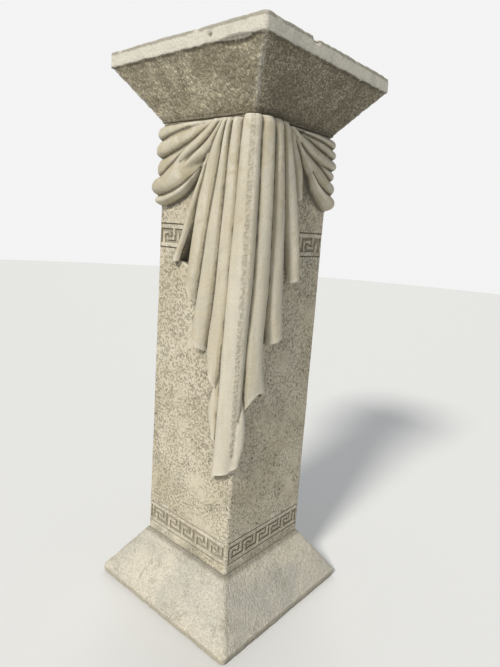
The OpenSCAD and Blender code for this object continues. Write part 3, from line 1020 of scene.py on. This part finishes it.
def cap_stone():
    """Coarse dirty slopes with a wormy brushed relief, and a paler slab with a rough dark arris."""
    c = colours()
    s = sizes()
    m = Stone("cap_stone")
    slab = CAP_HIGH.z - s.cap_slab_h
    edge = m.z + (m.noise(0.012, 3.0) - 0.5) * 5 * MM
    on_slab = edge.step(slab - 1.5 * MM, slab + 0.5 * MM)
    out = abs(m.x).most(abs(m.y)) - CAP_HIGH.x
    arris = edge.step(CAP_HIGH.z - 8 * MM, CAP_HIGH.z - 5 * MM) * m.noise(0.02, 3.0).step(0.25, 0.42)
    arris = arris * out.step(-9 * MM, -3 * MM)
    on_top = m.z.step(CAP_HIGH.z - 3 * MM, CAP_HIGH.z - 1 * MM) * out.step(-3 * MM, -8 * MM)
    brushed = m.vector(m.x + m.z * 0.3, m.y + m.z * 0.3, m.z * 0.8)
    worms = abs(m.noise(6.5 * MM, 1.5, 1.0, brushed) - 0.5).step(0.045, 0.012)
    gaps = m.noise(3.4 * MM, 2.0, 0.5, brushed).step(0.50, 0.62)
    carved = (worms * 0.8).most(gaps) * (1 - on_slab)
    grain = m.noise(0.9 * MM, 3.0)
    patch = m.noise(0.05, 3.0, 0.6)
    streak = m.noise(0.03, 3.0, 0.4, m.vector(m.x, m.y, m.z * 0.25))
    slope = m.mix(patch.step(0.38, 0.62), rgb(c.slope_light), rgb(c.slope_dark))
    slope = m.coat(slope, streak.step(0.50, 0.72) * 0.50, c.slope_grime_and_shade)
    # The +X side of the cap is darker: partly grime, partly painted shade.
    grime_and_shaded_side = (m.x - abs(m.y)).step(-2 * MM, 2 * MM)
    slope = m.coat(slope, grime_and_shaded_side * 0.42, c.slope_gap_and_shade)
    # Painted shade: a patchy dark band on the slope just below the slab.
    under = m.z.step(slab - 14 * MM, slab - 3 * MM) * streak.step(0.35, 0.6)
    slope = m.coat(slope, under * 0.55, c.slope_grime_and_shade)
    # Painted shadow: a broken dark line right under the slab's edge.
    line = m.z.step(slab - 5 * MM, slab - 2.5 * MM) * m.noise(0.02, 3.0).step(0.38, 0.55)
    slope = m.coat(slope, line * 0.7, c.slope_gap_and_shade)
    hip = (abs(abs(m.x) - abs(m.y)) * 100).step(1.0, 0.2) * m.noise(0.015, 3.0).step(0.30, 0.52)
    slab_face = m.mix(m.noise(0.03, 3.0).step(0.45, 0.70) * 0.5, rgb(c.slab_light), rgb(c.cloth_grey))
    speckled = m.noise(3.5 * MM, 2.5, 0.3).step(0.50, 0.64)
    slab_face = m.coat(slab_face, speckled * 0.28, c.dirt)
    colour = m.mix(on_slab, slope, slab_face)
    # The brush marks darken more on the +X side: partly grime, partly painted shade.
    colour = m.coat(colour, carved * (0.42 + grime_and_shaded_side * 0.38), c.slope_gap_and_shade)
    colour = m.coat(colour, hip * 0.55 * (1 - on_slab), c.slab_light)
    colour = m.coat(colour, arris * 0.55, c.pit_dirt_and_shade)
    colour = m.coat(colour, on_top * (patch.step(0.38, 0.66) * 0.45 + 0.10), c.slope_grime_and_shade)
    colour = m.coat(colour, m.noise(1.8 * MM, 2.0).step(0.60, 0.72) * 0.3, c.slope_gap_and_shade)
    colour = m.coat(colour, (grain - 0.5).step(-0.1, 0.25) * 0.2, c.slab_light)
    # Painted shade: the cap's lowest band, over the cloth, is darkened.
    foot = m.z.step(CAP_LOW.z + 12 * MM, CAP_LOW.z + 3 * MM)
    colour = m.coat(colour, foot * 0.55, c.slope_gap_and_shade)
    # Painted shade: creases and hollows are darkened.
    colour = m.coat(colour, m.hollow.step(0.10, 0.6) * 0.7, c.slope_gap_and_shade)
    colour = m.coat(colour, m.hollow.step(-0.15, -0.6) * 0.3, c.slab_light)
    relief = carved * (-1.8 * MM) + (grain - 0.5) * 0.6 * MM
    relief = relief + (m.noise(4 * MM, 2.0) - 0.5) * 1.6 * MM
    return m.finish(colour, relief, 0.88 + grain * 0.1)


def base_stone():
    """Sandy, nearly smooth faces with worn patches, dirt along the hips, and darker round the foot of the
    shaft.
    """
    c = colours()
    m = Stone("base_stone")
    grain = m.noise(1.1 * MM, 3.0)
    broad = m.noise(0.09, 3.0, 0.5)
    patch = m.noise(0.03, 3.0, 0.6)
    worms = abs(m.noise(9 * MM, 1.0, 0.8) - 0.5).step(0.045, 0.012) * patch.step(0.50, 0.62)
    sand = m.noise(3.6 * MM, 2.5, 0.4).step(0.48, 0.66)
    colour = m.mix(broad.step(0.36, 0.66), rgb(c.base_light), rgb(c.base_grey))
    colour = m.coat(colour, patch.step(0.50, 0.80) * 0.18, c.dirt)
    colour = m.coat(colour, sand * 0.20, c.dirt)
    hip = (abs(abs(m.x) - abs(m.y)) * 60).step(1.0, 0.0) * m.noise(8 * MM, 3.0).step(0.35, 0.6)
    colour = m.coat(colour, hip * 0.30, c.slope_dark)
    # Darker on the upright rim and towards the bottom.
    rim = (m.z + (patch - 0.5) * 6 * MM).step(sizes().base_rim_h - 1 * MM, sizes().base_rim_h - 5 * MM)
    colour = m.coat(colour, rim * 0.30, c.slope_dark)
    # Darker at the top of the base, round the foot of the shaft.
    seam = m.z.step(BASE_HIGH.z - 9 * MM, BASE_HIGH.z - 1 * MM)
    colour = m.coat(colour, seam * 0.6, c.pit_dirt_and_shade)
    foot = (m.z + (patch - 0.5) * 9 * MM).step(15 * MM, 9 * MM)
    colour = m.coat(colour, foot * 0.50, c.dirt)
    colour = m.coat(colour, worms * 0.35, c.slope_dark)
    colour = m.coat(colour, m.noise(1.9 * MM, 2.0).step(0.60, 0.74) * 0.25, c.dirt)
    colour = m.coat(colour, (grain - 0.5).step(-0.1, 0.25) * 0.2, c.worn)
    # Painted shade: creases and hollows are darkened.
    colour = m.coat(colour, m.hollow.step(0.1, 0.6) * 0.6, c.pit_dirt_and_shade)
    colour = m.coat(colour, m.hollow.step(-0.15, -0.6) * 0.3, c.worn)
    relief = worms * (-0.7 * MM) - sand * 0.8 * MM + (grain - 0.5) * 0.5 * MM
    relief = relief + (m.noise(6 * MM, 2.0) - 0.5) * 1.2 * MM
    return m.finish(colour, relief, 0.86 + grain * 0.12)


# ------------------------------------------------------------------ properties


def length(name, text, value):
    """A length property."""
    return FloatProperty(name=name, description=text, default=value, min=0, unit="LENGTH", precision=4)


def share_of(name, text, value):
    """A share between 0 and 1."""
    return FloatProperty(name=name, description=text, default=value, min=0, max=1)


def tint(name, text, value):
    """A colour property."""
    return FloatVectorProperty(
        name=name, description=text, default=value, size=3, min=0, max=1, subtype="COLOR")


class PillarSizes(bpy.types.PropertyGroup):
    """Sizes that a user would change."""

    base_rim_h: length("Base rim", "Height of the upright rim round the base", 0.016)
    seat_ledge: length("Seat ledge", "Ledge left round the foot of the shaft", 0.001)
    shaft_foot_w: length("Shaft foot", "Width of the shaft at its foot", 0.218)
    shaft_head_w: length("Shaft head", "Width of the shaft at its head", 0.214)
    arris_r: length("Arris", "Radius worn along each arris of the shaft", 0.005)
    cap_slab_h: length("Slab", "Height of the slab at the top of the cap", 0.024)
    cap_lip_h: length("Cap lip", "Height of the upright lip at the foot of the cap", 0.004)
    cap_ledge: length("Cap ledge", "How far the cap's foot stands out past the shaft", 0.003)
    band_h: length("Band", "Height from one border groove of a key band to the other", 0.042)
    border_w: length("Border", "Width of a border groove", 0.0028)
    rail_w: length("Rail", "Width of the plain rail between border and key", 0.0065)
    stroke_w: length("Stroke", "Width of a raised key stroke", 0.0048)
    groove_depth: length("Groove", "Depth of the key's ground", 0.0032)
    band_margin: length("Margin", "Plain margin between the key and the arris", 0.006)
    key_pitch: length("Key pitch", "Length of one key unit", 0.0385)
    lower_band_z: length("Lower band", "Height of the lower band's middle", 0.1445)
    upper_band_z: length("Upper band", "Height of the upper band's middle", 0.699)
    lower_shift_x: share_of("Lower shift X", "Where the lower key starts on the X faces", 0.17)
    lower_shift_y: share_of("Lower shift Y", "Where the lower key starts on the Y faces", 0.44)
    upper_shift_x: share_of("Upper shift X", "Where the upper key starts on the X faces", 0.97)
    upper_shift_y: share_of("Upper shift Y", "Where the upper key starts on the Y faces", 0.20)
    gather_h: length("Gather", "Height over which the cloth swells out from under the cap", 0.016)
    bend_r: length("Bend", "Radius at which the cloth turns the corners", 0.018)
    shaft_triangles: IntProperty(
        name="Shaft triangles", description="Triangles kept in the shaft", default=170000)


class PillarColours(bpy.types.PropertyGroup):
    """Colours that a user would change."""

    face_light: tint("Face, light", "Clean stone of the shaft's faces", (0.56, 0.51, 0.40))
    face_warm: tint("Face, warm", "Warmer stone of the shaft's faces", (0.47, 0.42, 0.31))
    cloth_light: tint("Cloth, light", "Clean stone of the cloth", (0.565, 0.525, 0.435))
    cloth_warm: tint("Cloth, warm", "Warmer stone of the cloth", (0.49, 0.44, 0.335))
    cloth_grey: tint("Cloth, grey", "Weathered grey of the cloth", (0.42, 0.41, 0.36))
    # Soiled cloth also stands for painted shade in the cloth's valleys.
    cloth_dirt_and_shade: tint("Cloth, soiled", "Ochre dirt on the swags and upper pleats", (0.36, 0.31, 0.20))
    # Besides brown streaks, this colour paints the shade just below the slab.
    slope_grime_and_shade: tint("Slope, grime", "Brown streaks on the cap's slopes", (0.24, 0.205, 0.135))
    # Besides dirt in pits, this colour paints shade: in creases, key grooves, the pocket and under the
    # swags.
    pit_dirt_and_shade: tint("Pit", "Dirt in pits and grooves", (0.13, 0.115, 0.085))
    dirt: tint("Dirt", "Grime on plain faces", (0.30, 0.275, 0.21))
    worn: tint("Worn", "Bare stone on worn edges", (0.68, 0.64, 0.55))
    slope_light: tint("Slope, light", "Cleaner stone of the cap's slopes", (0.60, 0.535, 0.385))
    slope_dark: tint("Slope, dark", "Dirty stone of the cap's slopes", (0.40, 0.35, 0.24))
    # Besides grime in the brush marks, this colour paints shade: on the +X side, under the slab, at the
    # foot and in creases.
    slope_gap_and_shade: tint("Slope, gaps", "Grime between the brush marks", (0.12, 0.10, 0.07))
    slab_light: tint("Slab", "Pale stone of the slab", (0.60, 0.57, 0.49))
    base_light: tint("Base, light", "Cream stone of the base", (0.56, 0.52, 0.43))
    base_grey: tint("Base, grey", "Grey stone of the base", (0.46, 0.44, 0.38))


# ------------------------------------------------------------------ operators

# Round floor, in metres, and the light from all round and the backdrop that the camera sees.
FLOOR_CORNERS = 96
FLOOR_RADIUS = 8
FLOOR_COLOUR = (0.66, 0.66, 0.65, 1)
SKY_LIGHT = (0.39, 0.405, 0.42, 1)
BACKGROUND = (0.90, 0.90, 0.90, 1)

# Suns: name, direction of the light, spread in degrees, strength and colour.
SUNS = (
    ("key", (-0.13, 0.77, -0.63), 11, 3.2, (1.0, 0.965, 0.90)),
    ("back", (0.50, -0.62, -0.60), 50, 0.9, (0.95, 0.97, 1.0)),
)

# Camera: place in metres, bearing from +Y towards -X, pitch and roll in degrees, lens in millimetres.
CAMERA_PLACE = (0.6529, -0.7269, 0.7197)
CAMERA_BEARING = 40.32
CAMERA_PITCH = -11.42
CAMERA_ROLL = 4.02
CAMERA_LENS = 27.77


def put_in_place(made, node, material):
    """Gives a casting its stone and lets it stand for its CAD node."""
    made.data.materials.clear()
    made.data.materials.append(material)
    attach(made, "root")
    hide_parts(node)


class PILLAR_OT_base(bpy.types.Operator):
    """Adds the flared base."""

    bl_idname = "pillar.base"
    bl_label = "Base"

    def execute(self, context):
        put_in_place(build_base(), "base", base_stone())
        return {"FINISHED"}


class PILLAR_OT_shaft(bpy.types.Operator):
    """Adds the shaft with its key bands and cloth."""

    bl_idname = "pillar.shaft"
    bl_label = "Shaft and cloth"

    def execute(self, context):
        put_in_place(build_shaft(), "shaft", shaft_stone())
        return {"FINISHED"}


class PILLAR_OT_cap(bpy.types.Operator):
    """Adds the flared cap."""

    bl_idname = "pillar.cap"
    bl_label = "Cap"

    def execute(self, context):
        put_in_place(build_cap(), "cap", cap_stone())
        return {"FINISHED"}


def soft_sun(name, direction, spread, strength, colour):
    """A sun that shines along a direction; its spread in degrees softens the shadows."""
    data = bpy.data.lights.new(name, "SUN")
    data.energy = strength
    data.angle = math.radians(spread)
    data.color = colour
    made = bpy.data.objects.new(name, data)
    made.rotation_euler = look_along(direction).to_euler()
    bpy.context.scene.collection.objects.link(made)


def look_along(direction):
    """Rotation that turns -Z along a direction, with +Y up."""
    back = -np.array(direction, float) / np.linalg.norm(direction)
    right = np.cross((0, 0, 1), back)
    right /= np.linalg.norm(right)
    return Matrix(np.stack([right, np.cross(back, right), back], axis=-1).tolist())


class PILLAR_OT_stage(bpy.types.Operator):
    """Adds the floor, the lights, the world and the camera."""

    bl_idname = "pillar.stage"
    bl_label = "Stage"

    def execute(self, context):
        scene = context.scene
        scene.view_settings.view_transform = "Standard"
        angle = np.linspace(0, 2 * math.pi, FLOOR_CORNERS + 1)[:-1]
        rim = np.stack([FLOOR_RADIUS * np.cos(angle), FLOOR_RADIUS * np.sin(angle), 0 * angle], axis=-1)
        floor = mesh_object("floor", rim, [list(range(FLOOR_CORNERS))])
        pale = bpy.data.materials.new("floor_pale")
        pale.use_nodes = True
        surface = pale.node_tree.nodes["Principled BSDF"]
        surface.inputs["Base Color"].default_value = FLOOR_COLOUR
        surface.inputs["Roughness"].default_value = 0.9
        floor.data.materials.append(pale)
        for sun in SUNS:
            soft_sun(*sun)
        world = bpy.data.worlds.new("studio")
        world.use_nodes = True
        tree = world.node_tree
        light_path = tree.nodes.new("ShaderNodeLightPath")
        blend = tree.nodes.new("ShaderNodeMix")
        blend.data_type = "RGBA"
        back = tree.nodes["Background"]
        ends = [socket for socket in blend.inputs if socket.type == "RGBA"]
        ends[0].default_value = SKY_LIGHT
        ends[1].default_value = BACKGROUND
        tree.links.new(light_path.outputs["Is Camera Ray"], blend.inputs[0])
        tree.links.new(next(s for s in blend.outputs if s.type == "RGBA"), back.inputs["Color"])
        scene.world = world
        self.add_camera(scene)
        return {"FINISHED"}

    def add_camera(self, scene):
        """A wide camera beside the draped corner, looking slightly down at it."""
        data = bpy.data.cameras.new("camera")
        data.lens = CAMERA_LENS
        data.clip_start = 0.01
        made = bpy.data.objects.new("camera", data)
        bearing = math.radians(CAMERA_BEARING)
        pitch = math.radians(CAMERA_PITCH)
        level = math.cos(pitch)
        aim = (-math.sin(bearing) * level, math.cos(bearing) * level, math.sin(pitch))
        turn = look_along(aim).to_4x4() @ Matrix.Rotation(math.radians(CAMERA_ROLL), 4, "Z")
        made.matrix_world = Matrix.Translation(CAMERA_PLACE) @ turn
        scene.collection.objects.link(made)
        scene.camera = made


class PILLAR_PT_panel(bpy.types.Panel):
    """The pillar's pieces, sizes and colours."""

    bl_label = "Draped Pillar"
    bl_idname = "PILLAR_PT_panel"
    bl_space_type = "VIEW_3D"
    bl_region_type = "UI"
    bl_category = "Pillar"

    def draw(self, context):
        column = self.layout.column()
        for operator in OPERATORS:
            column.operator(operator.bl_idname)
        for group in (context.scene.pillar_sizes, context.scene.pillar_colours):
            box = self.layout.box()
            for key in group.bl_rna.properties.keys():
                if key not in ("rna_type", "name"):
                    box.prop(group, key)


OPERATORS = (PILLAR_OT_base, PILLAR_OT_shaft, PILLAR_OT_cap, PILLAR_OT_stage)
CLASSES = (PillarSizes, PillarColours) + OPERATORS + (PILLAR_PT_panel,)


def register():
    """Registers the classes and their properties."""
    for item in CLASSES:
        bpy.utils.register_class(item)
    bpy.types.Scene.pillar_sizes = PointerProperty(type=PillarSizes)
    bpy.types.Scene.pillar_colours = PointerProperty(type=PillarColours)


def unregister():
    """Takes them away again."""
    del bpy.types.Scene.pillar_colours
    del bpy.types.Scene.pillar_sizes
    for item in reversed(CLASSES):
        bpy.utils.unregister_class(item)


def main():
    register()
    bpy.ops.pillar.base()
    bpy.ops.pillar.shaft()
    bpy.ops.pillar.cap()
    bpy.ops.pillar.stage()


if __name__ == "__main__":
    main()
